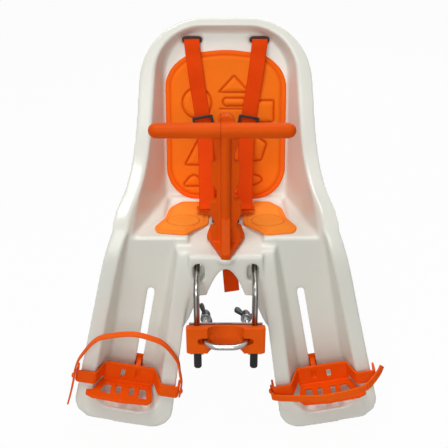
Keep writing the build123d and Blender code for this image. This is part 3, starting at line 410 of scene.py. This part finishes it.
lobe = [(0.0, 194.5), (66.0, 194.5), (82.0, 173.0), (86.0, 140.0), (99.0, 112.0), (93.0, 97.0), (54.0, 91.0),
        (44.0, 105.0), (24.0, 122.0), (24.0, 152.0), (0.0, 152.0)]
off_middle = 6.0
lobe = [lobe[0]] + [corner for corner in rounded(lobe, 5.0, 5) if corner[0] > off_middle] + [lobe[-1]]
pad_mesh = pressed_pad(lobe, (50.0, 158.0), seat_height, on_pan, True)
# Painted light: this pad's foam is given lighter, yellower tones than the back pad's, standing for the top
# light on the upward-facing pad.
lit_pan_orange = finish("lit_pan_orange", {"Base Color": (1.0, 0.27, 0.03), "Specular IOR Level": 0.08},
                    lambda place: foam(place, (0.98, 0.27, 0.028), (1.0, 0.33, 0.042), (1.0, 0.24, 0.022)))
seat_pad = added("seat_pad_pressed", pad_mesh, "seat", lit_pan_orange)
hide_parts("seat_pad")


# Handle: bar, flanged column and foot in one piece of orange polypropylene, bolted to the pommel from
# below. The two mould halves meet in a fine line round the bar, a little beside its middle.
def gloss_orange(place):
    seam_x, seam_half, seam_edge = -0.0062, 0.0002, 0.0007
    bar_from, bar_to = 0.256, 0.260
    seam_share, seam_tone, grain_share = 0.8, (0.36, 0.025, 0.001), 0.25
    cloud = place.noise(16.0, 3.0)
    grain = place.noise(1500.0)
    tone = cloud.mix((0.70, 0.074, 0.001), (0.82, 0.102, 0.003))
    away = (place.part(0) - seam_x).math("ABSOLUTE")
    seam = away.ease(seam_edge, seam_half) * place.part(2).ease(bar_from, bar_to)
    tone = (seam * seam_share).mix(tone, seam_tone)
    relief = grain * grain_share - seam
    return {"Base Color": tone, "Roughness": cloud * 0.12 + 0.26, "Normal": relief.bump(0.00025, 0.35)}


orange_gloss = finish("orange_gloss", {"Base Color": (0.76, 0.088, 0.002), "Specular IOR Level": 0.06},
                      gloss_orange)
handle_voxel, handle_rounds = 0.0010, 7
handle_mesh = softened("handle", handle_voxel, handle_rounds)
handle = added("grab_handle", handle_mesh, "seat", orange_gloss)
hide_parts("handle")


# Shoulder straps: woven polypropylene webbing, 22 mm wide, from keepers behind the back through slots
# in the panel, over the pad, through the adjusters and down to the buckle tongues.
def drawn(points, samples):
    """Points along a smooth line through the given ones."""
    line = []
    slack = 6.0
    for i, (start, end) in enumerate(zip(points, points[1:])):
        before, after = points[max(i - 1, 0)], points[min(i + 2, len(points) - 1)]
        grips = start + (end - before) / slack, end - (after - start) / slack
        line += interpolate_bezier(start, *grips, end, samples + 1)[:-1]
    return line + [points[-1]]


def band(line, offsets, facing):
    """A band drawn along a line: the offsets lie across it, as near to facing as its run allows."""
    cloth = bmesh.new()
    run = cloth.verts.layers.float.new("run")
    side = cloth.verts.layers.float.new("side")
    travelled = 0.0
    for i, point in enumerate(line):
        ahead = (line[min(i + 1, len(line) - 1)] - line[max(i - 1, 0)]).normalized()
        across = (facing - ahead * facing.dot(ahead)).normalized()
        if i == 0:
            verts = [cloth.verts.new(point + across * offset) for offset in offsets]
            for vert, offset in zip(verts, offsets):
                vert[side] = offset
            edges = [cloth.edges.new(pair) for pair in zip(verts, verts[1:])]
            continue
        travelled += (point - line[i - 1]).length
        made = bmesh.ops.extrude_edge_only(cloth, edges=edges)["geom"]
        fresh = {part for part in made if isinstance(part, bmesh.types.BMVert)}
        edges = [part for part in made if isinstance(part, bmesh.types.BMEdge) and set(part.verts) <= fresh]
        for vert in fresh:
            vert.co = point + across * vert[side]
            vert[run] = travelled
    bmesh.ops.recalc_face_normals(cloth, faces=cloth.faces)
    return cloth


def finished_band(name, cloth, body, material, thickness, edge):
    """The band given its thickness and eased edges."""
    mesh = bpy.data.meshes.new(name)
    cloth.to_mesh(mesh)
    cloth.free()
    piece = added(name, mesh, body, material)
    thick = piece.modifiers.new("thickness", "SOLIDIFY")
    thick.thickness = thickness
    thick.offset = 0.0
    ease = piece.modifiers.new("edge", "BEVEL")
    ease.width = edge
    ease.segments = 2
    ease.limit_method = "ANGLE"
    return piece


def woven(place):
    warp_pitch, weft_pitch, warp_pull = 0.0021, 0.0017, 0.9
    selvedge_from, selvedge_to, selvedge_share, selvedge_tone = 0.0092, 0.0104, 0.25, (0.56, 0.028, 0.001)
    gap_top, gap_floor, gap_shade_share, gap_shade_tone = 0.1, -0.6, 0.45, (0.46, 0.020, 0.001)
    run, side = place.own("run"), place.own("side")
    warp = (side * (full_turn / warp_pitch)).math("SINE")
    weft = (run * (full_turn / weft_pitch) + warp * warp_pull).math("SINE")
    weave = warp.math("ABSOLUTE") * 0.5 + weft * 0.5
    cloud = place.noise(30.0, 3.0)
    fibre = place.noise(2200.0)
    selvedge = side.math("ABSOLUTE").ease(selvedge_from, selvedge_to)
    tone = cloud.mix((0.78, 0.052, 0.002), (0.90, 0.074, 0.003))
    # Painted shade: the low gaps of the weave are darkened, standing for the shade between the yarns.
    tone = (weave.ease(gap_top, gap_floor) * gap_shade_share).mix(tone, gap_shade_tone)
    tone = (selvedge * selvedge_share).mix(tone, selvedge_tone)
    relief = weave + fibre * 0.5
    return {"Base Color": tone, "Roughness": fibre * 0.15 + 0.62, "Normal": relief.bump(0.00022, 0.6)}


webbing = finish("webbing", {"Base Color": (0.82, 0.06, 0.002), "Specular IOR Level": 0.05}, woven)
webbing_thick, webbing_edge, webbing_samples = 0.0016, 0.0004, 8
webbing_cell, half_cells = 0.00275, 4
strap_offsets = [i * webbing_cell for i in range(-half_cells, half_cells + 1)]
over_pad = ((48.5, 234.0, -8.0), (48.5, 234.2, 1.0), (48.4, 233.4, 8.0), (47.6, 227.0, 11.4),
            (46.0, 212.0, 10.6), (43.2, 190.0, 12.4), (39.6, 165.0, 11.0), (36.0, 142.0, 10.3),
            (32.5, 119.0, 10.2), (30.8, 104.0, 10.6))
to_buckle = ((28.6, 192.0, 193.0), (27.4, 169.0, 161.0), (27.0, 155.5, 139.0), (27.0, 149.0, 131.6),
             (26.6, 141.5, 130.2))
for hand, sign in (("left", -1.0), ("right", 1.0)):
    route = [on_panel(across * sign, up, out) for across, up, out in over_pad]
    route += [Vector((across * sign, back, rise)) * millimetre for across, back, rise in to_buckle]
    cloth = band(drawn(route, webbing_samples), strap_offsets, Vector((1.0, 0.0, 0.0)))
    strap = finished_band("shoulder_webbing_" + hand, cloth, "seat", webbing,
                          webbing_thick, webbing_edge)
    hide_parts("shoulder_strap_" + hand)


# Harness fittings: black nylon adjusters on the straps, keeper plates behind the back, and the buckle
# with its two orange tongues and red button over the pan, all plain injection mouldings.
black_nylon = moulded_plastic(tones=((0.012, 0.012, 0.013), (0.028, 0.028, 0.031)), cloud=(40.0, 2.0),
                              rough=(0.34, 0.15), grain=(1800.0, 0.00006, 0.5))
red_gloss = moulded_plastic(tones=((0.42, 0.012, 0.010), (0.55, 0.022, 0.016)), cloud=(60.0, 2.0),
                            rough=(0.25, 0.1), grain=(1500.0, 0.00005, 0.4))
black_plastic = finish("black_plastic", {"Base Color": (0.02, 0.02, 0.022), "Specular IOR Level": 0.22},
                       black_nylon)
button_red = finish("button_red", {"Base Color": (0.5, 0.02, 0.014)}, red_gloss)
fitting_voxel, small_voxel, fitting_rounds = 0.0005, 0.0004, 4
for node, voxel, body, slot, material in (
    ("strap_adjuster_left", fitting_voxel, "seat", "black_plastic", black_plastic),
    ("strap_adjuster_right", fitting_voxel, "seat", "black_plastic", black_plastic),
    ("strap_keeper_left", fitting_voxel, "seat", "black_plastic", black_plastic),
    ("strap_keeper_right", fitting_voxel, "seat", "black_plastic", black_plastic),
    ("buckle_tongue_left", small_voxel, "seat", "orange_gloss", orange_gloss),
    ("buckle_tongue_right", small_voxel, "seat", "orange_gloss", orange_gloss),
    ("buckle_body", fitting_voxel, "seat", "black_plastic", black_plastic),
    ("buckle_button", small_voxel, "buckle_button", "button_red", button_red),
):
    fitting = added(node + "_moulded", softened(node, voxel, fitting_rounds), body, material)
    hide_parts(node)


# Crotch strap: the same webbing, held in the buckle and threaded down through the pan; its cut tail
# shows in the arch of the pommel.
tail = ((4.0, 126.0, 125.0), (4.0, 126.0, 108.0), (4.4, 125.0, 84.0), (5.4, 123.0, 56.0), (7.2, 121.5, 30.0),
        (9.0, 121.0, 7.0))
route = [Vector(point) * millimetre for point in tail]
cloth = band(drawn(route, webbing_samples), strap_offsets, Vector((1.0, 0.16, 0.0)))
strap = finished_band("crotch_webbing", cloth, "seat", webbing, webbing_thick, webbing_edge)
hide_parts("crotch_strap")


# Support bar and fixings: 8 mm round steel bar bent to a loop under the pan and plated bright, with
# black end sleeves, clips under the pan and zinc-plated bolts.
def bright_plate(place):
    rod_x, reflection_bands_per_mm, reflection_drift = 0.0385, 1.55, 1.2
    cloud = place.noise(45.0, 4.0)
    streak = place.node("Mapping", Vector=place, Scale=(900.0, 900.0, 60.0)).noise(1.0, 3.0)
    # Painted reflection: dark and bright bands along each leg of the bar stand for a dark surround mirrored
    # in the polished steel; the base colour is kept dark for the same reason.
    across = (place.part(0).math("ABSOLUTE") - rod_x) * (1.0 / millimetre)
    painted_reflection = (across * reflection_bands_per_mm + cloud * reflection_drift).math("SINE") * 0.5 + 0.5
    tone = (painted_reflection * 0.75 + streak * 0.25).mix((0.06, 0.057, 0.050), (0.52, 0.51, 0.48))
    return {"Base Color": tone, "Roughness": streak * 0.12 + 0.20, "Normal": streak.bump(0.00002, 0.3)}


def zinc_plate(place):
    spangle = place.node("TexVoronoi", Vector=place, Scale=500.0)
    cloud = place.noise(70.0, 3.0)
    tone = (spangle * 0.5 + cloud * 0.5).mix((0.36, 0.37, 0.39), (0.52, 0.53, 0.55))
    return {"Base Color": tone, "Roughness": cloud * 0.2 + 0.25, "Normal": spangle.bump(0.00003, 0.3)}


def plated(material, *nodes):
    """Metal pieces that keep the CAD shape get their finish."""
    for node in nodes:
        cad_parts[node].material_slots[0].material = material


chrome = finish("chrome", {"Base Color": (0.6, 0.6, 0.6), "Metallic": 1.0}, bright_plate)
zinc_steel = finish("zinc_steel", {"Base Color": (0.45, 0.46, 0.48), "Metallic": 1.0}, zinc_plate)
plated(chrome, "support_bar")
for hand in ("left", "right"):
    for node in ("rod_sleeve_" + hand, "bar_clip_" + hand):
        fitting_mesh = softened(node, fitting_voxel, fitting_rounds)
        fitting = added(node + "_moulded", fitting_mesh, "seat", black_plastic)
        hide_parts(node)
    plated(zinc_steel, "clip_bolt_" + hand, "rod_bolt_" + hand, "rod_nut_" + hand)
plated(zinc_steel, "handle_bolt_front", "handle_bolt_rear")


# Stem clamp: an orange nylon block with a groove for the stem, a zinc plate behind it, a plated U-bolt
# through both, and black wing nuts on washers.
def rolled_plate(place):
    thread_pitch, thread_from, thread_to = 0.00125, 0.052, 0.054
    cloud = place.noise(60.0, 4.0)
    turn = (place.part(1) * (full_turn / thread_pitch)).math("SINE")
    thread = turn * place.part(1).ease(thread_from, thread_to)
    # Painted shade and light: the colour follows the thread, darker in its roots and lighter on its crests.
    tone = (cloud * 0.6 + thread * 0.4).mix((0.34, 0.335, 0.32), (0.62, 0.62, 0.60))
    return {"Base Color": tone, "Roughness": cloud * 0.15 + 0.16, "Normal": thread.bump(0.0003, 0.8)}


def black_zinc(place):
    cloud = place.noise(90.0, 4.0)
    tone = cloud.mix((0.030, 0.033, 0.036), (0.085, 0.090, 0.095))
    return {"Base Color": tone, "Roughness": cloud * 0.25 + 0.30, "Normal": cloud.bump(0.0001, 0.3)}


block_orange = moulded_plastic(tones=((0.80, 0.092, 0.001), (0.92, 0.125, 0.003)), cloud=(26.0, 3.0),
                               rough=(0.34, 0.15), grain=(1300.0, 0.0001, 0.4))
orange_nylon = finish("orange_nylon", {"Base Color": (0.86, 0.11, 0.002), "Specular IOR Level": 0.08},
                      block_orange)
bolt_plate = finish("bolt_plate", {"Base Color": (0.5, 0.5, 0.5), "Metallic": 1.0}, rolled_plate)
dark_steel = finish("dark_steel", {"Base Color": (0.06, 0.063, 0.067), "Metallic": 0.7}, black_zinc)
block_voxel, block_rounds = 0.0007, 5
block_mesh = softened("clamp_block", block_voxel, block_rounds)
block = added("clamp_block_moulded", block_mesh, "seat", orange_nylon)
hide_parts("clamp_block")
plated(bolt_plate, "u_bolt")
plated(zinc_steel, "clamp_plate", "washer_left", "washer_right")
nut_voxel, nut_rounds = 0.0004, 6
for hand in ("left", "right"):
    nut_mesh = softened("wing_nut_" + hand, nut_voxel, nut_rounds)
    nut = added("wing_nut_cast_" + hand, nut_mesh, "wing_nut_" + hand, dark_steel)
    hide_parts("wing_nut_" + hand)


# Footrests: orange polypropylene trays that slide in the slots of the leg guards, with arms hooked
# over both rims and a keeper screwed on behind.
satin_orange = moulded_plastic(tones=((0.84, 0.080, 0.001), (0.95, 0.112, 0.002)), cloud=(18.0, 3.0),
                               rough=(0.33, 0.12), grain=(1600.0, 0.00008, 0.4))
orange_satin = finish("orange_satin", {"Base Color": (0.90, 0.10, 0.001), "Specular IOR Level": 0.08},
                      satin_orange)
tray_voxel, tray_rounds = 0.0007, 5
for hand in ("left", "right"):
    tray_mesh = softened("footrest_" + hand, tray_voxel, tray_rounds)
    tray = added("footrest_moulded_" + hand, tray_mesh, "footrest_" + hand, orange_satin)
    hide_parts("footrest_" + hand)
    keeper_mesh = softened("footrest_keeper_" + hand, fitting_voxel, fitting_rounds)
    keeper = added("footrest_keeper_moulded_" + hand, keeper_mesh, "footrest_" + hand,
                   orange_gloss)
    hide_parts("footrest_keeper_" + hand)
    plated(zinc_steel, "keeper_screw_" + hand)


# Foot straps: soft moulded bands, pierced for the pegs on the tray's arms. The left one is closed in a
# loop over the foot with its paddle end hanging down, the right one lies open across the front.
leg_lean = radians(11.0)
leg_x, leg_y, leg_z = 118.0, 85.0, -37.0


def on_leg(sign, across, up, out):
    """A point over a leg guard, in millimetres across it, up it and out from its wall."""
    x = leg_x + across * cos(leg_lean) - up * sin(leg_lean)
    z = leg_z + across * sin(leg_lean) + up * cos(leg_lean)
    return Vector((sign * x, leg_y - out, z)) * millimetre


def soft_orange(place):
    rib_pitch = 0.0034
    cloud = place.noise(22.0, 3.0)
    pores = place.noise(900.0)
    rib = (place.own("side") * (full_turn / rib_pitch)).math("COSINE")
    tone = cloud.mix((0.88, 0.098, 0.001), (0.97, 0.135, 0.003))
    relief = pores * 0.4 + rib * 0.6
    return {"Base Color": tone, "Roughness": cloud * 0.15 + 0.42, "Normal": relief.bump(0.0002, 0.35)}


orange_soft = finish("orange_soft", {"Base Color": (0.93, 0.115, 0.002), "Specular IOR Level": 0.10},
                     soft_orange)
inner_end, outer_end, arm_out = 65.1, 86.1, 51.5
loop_route = [(-inner_end, -65.0), (-inner_end, -45.0), (-inner_end + 5.6, -25.0), (-inner_end + 13.2, -3.0),
              (-inner_end + 35.0, 20.0), (-8.0, 27.0), (14.0, 28.5), (40.0, 21.5), (outer_end - 24.0, 9.5),
              (outer_end - 7.6, -19.0), (outer_end - 1.0, -40.0), (outer_end, -65.0),
              (outer_end + 1.4, -86.0), (outer_end + 3.4, -106.0)]
open_route = [(-inner_end, -60.5, 39.5), (-inner_end, -60.5, 55.0), (-inner_end + 3.5, -60.9, 61.0),
              (-40.0, -62.5, 66.0), (-10.0, -64.4, 70.6), (14.0, -64.8, 72.9), (45.0, -63.0, 71.9),
              (66.0, -59.8, 69.8), (78.0, -53.0, 65.0), (88.0, -46.0, 58.5), (93.5, -40.0, 53.5)]
loop_line = [on_leg(-1.0, across, up, arm_out) for across, up in loop_route]
open_line = [on_leg(1.0, *point) for point in open_route]
loop_facing = Vector((0.0, -1.0, 0.0))
open_facing = Vector((-sin(leg_lean), 0.0, cos(leg_lean)))
strap_side = [-0.0052, -0.0034, -0.0011, 0.0011, 0.0034, 0.0052]
strap_thick, strap_edge, strap_samples = 0.0024, 0.0006, 14
slit_from, slit_to, slit_pitch, slit_length = 0.004, 0.040, 0.012, 0.006
slit_half, loop_slits_at = 0.001, 0.190
paddle_length, paddle_spread = 0.012, 1.4
peg_up, peg_stand, peg_radius, peg_flat = -57.0, 1.6, 0.0036, 0.55
inner_peg, outer_peg = -inner_end - peg_stand, outer_end + peg_stand
for hand, sign, line, facing, peg_places in (
    ("left", -1.0, loop_line, loop_facing, (inner_peg, outer_peg)),
    ("right", 1.0, open_line, open_facing, (inner_peg,)),
):
    cloth = band(drawn(line, strap_samples), strap_side, facing)
    run, side = cloth.verts.layers.float["run"], cloth.verts.layers.float["side"]
    total = max(vert[run] for vert in cloth.verts)
    slits = []
    for face in cloth.faces:
        at = sum(vert[run] for vert in face.verts) / len(face.verts)
        middle = abs(sum(vert[side] for vert in face.verts)) < slit_half
        along = total - at if hand == "right" else at - loop_slits_at
        if middle and slit_from < along < slit_to and along % slit_pitch < slit_length:
            slits.append(face)
    bmesh.ops.delete(cloth, geom=slits, context="FACES")
    if hand == "left":
        paddle = [vert for vert in cloth.verts if vert[run] > total - paddle_length]
        tip = Matrix.Translation(-line[-1])
        bmesh.ops.scale(cloth, verts=paddle, vec=(1.0, paddle_spread, 1.0), space=tip)
    strap = finished_band("foot_band_" + hand, cloth, "footrest_" + hand, orange_soft,
                          strap_thick, strap_edge)
    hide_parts("foot_strap_" + hand)
    pegs = bmesh.new()
    for across in peg_places:
        head = bmesh.ops.create_uvsphere(pegs, u_segments=24, v_segments=12, radius=peg_radius)["verts"]
        spot = Matrix.Translation(on_leg(sign, across, peg_up, arm_out))
        lean = Matrix.Rotation(-sign * leg_lean, 4, "Y")
        bmesh.ops.transform(pegs, verts=head, matrix=spot @ lean @ Matrix.Diagonal((peg_flat, 1.0, 1.0, 1.0)))
    peg_mesh = bpy.data.meshes.new("foot_pegs_" + hand)
    pegs.to_mesh(peg_mesh)
    pegs.free()
    added("foot_pegs_" + hand, peg_mesh, "footrest_" + hand, orange_satin)


# Studio: a pale paper floor that keeps the shadow, a white surround and four soft lamps, seen from in
# front and a little above.
floor_gap, floor_half, floor_glow = 0.002, 60.0, 0.965
floor_mesh = bpy.data.meshes.new("floor")
plane = bmesh.new()
bmesh.ops.create_grid(plane, x_segments=1, y_segments=1, size=floor_half)
bmesh.ops.translate(plane, verts=plane.verts, vec=(0.0, 0.0, cad_box[0][2] - floor_gap))
plane.to_mesh(floor_mesh)
plane.free()
floor = bpy.data.objects.new("floor", floor_mesh)
bpy.context.scene.collection.objects.link(floor)
paper = bpy.data.materials.new("paper")
paper.use_nodes = True
tree = paper.node_tree
shader = tree.nodes["Principled BSDF"]
shader.inputs["Base Color"].default_value = (0.70, 0.70, 0.70, 1.0)
shader.inputs["Roughness"].default_value = 0.9
glow = Shade(tree).node("Emission")
seen = Shade(tree).node("LightPath", output="Is Camera Ray") * floor_glow
blend = seen.node("MixShader", i0=seen, i1=Shade(tree, shader.outputs[0]), i2=glow)
tree.links.new(blend.socket, tree.nodes["Material Output"].inputs[0])
floor_mesh.materials.append(paper)

sky_light = 0.16
world = bpy.data.worlds.new("studio")
bpy.context.scene.world = world
world.use_nodes = True
tree = world.node_tree
sky = tree.nodes["Background"]
sky.inputs["Color"].default_value = (1.0, 1.0, 1.0, 1.0)
seen = Shade(tree).node("LightPath", output="Is Camera Ray")
for ray in ("Is Glossy Ray", "Is Transmission Ray"):
    seen = seen + Shade(tree).node("LightPath", output=ray)
seen = seen.math("MINIMUM", 1.0)
tree.links.new((seen * (1.0 - sky_light) + sky_light).socket, sky.inputs["Strength"])

target = Vector((0.0, 0.10, 0.08))
for name, place, size, power in (
    ("front", (-0.35, -2.1, 1.15), 1.5, 22.0),
    ("key", (-0.5, -0.45, 2.1), 0.8, 17.0),
    ("top", (0.25, 0.5, 2.2), 0.9, 12.0),
    ("rear", (0.6, 2.3, 1.1), 1.2, 10.0),
):
    lamp = bpy.data.lights.new(name, "AREA")
    lamp.shape = "DISK"
    lamp.size = size
    lamp.energy = power
    light = bpy.data.objects.new(name, lamp)
    bpy.context.scene.collection.objects.link(light)
    light.location = place
    light.rotation_euler = (target - Vector(place)).to_track_quat("-Z", "Y").to_euler()

camera_dip = radians(27.0)
lens = bpy.data.cameras.new("camera")
lens.sensor_width = 36.0
lens.lens = 55.45
lens.shift_x = -0.004
camera = bpy.data.objects.new("camera", lens)
bpy.context.scene.collection.objects.link(camera)
camera.location = (0.0, -0.735, 0.5536)
camera.rotation_euler = (pi / 2.0 - camera_dip, 0.0, 0.0)
bpy.context.scene.camera = camera
bpy.context.scene.view_settings.view_transform = "Standard"
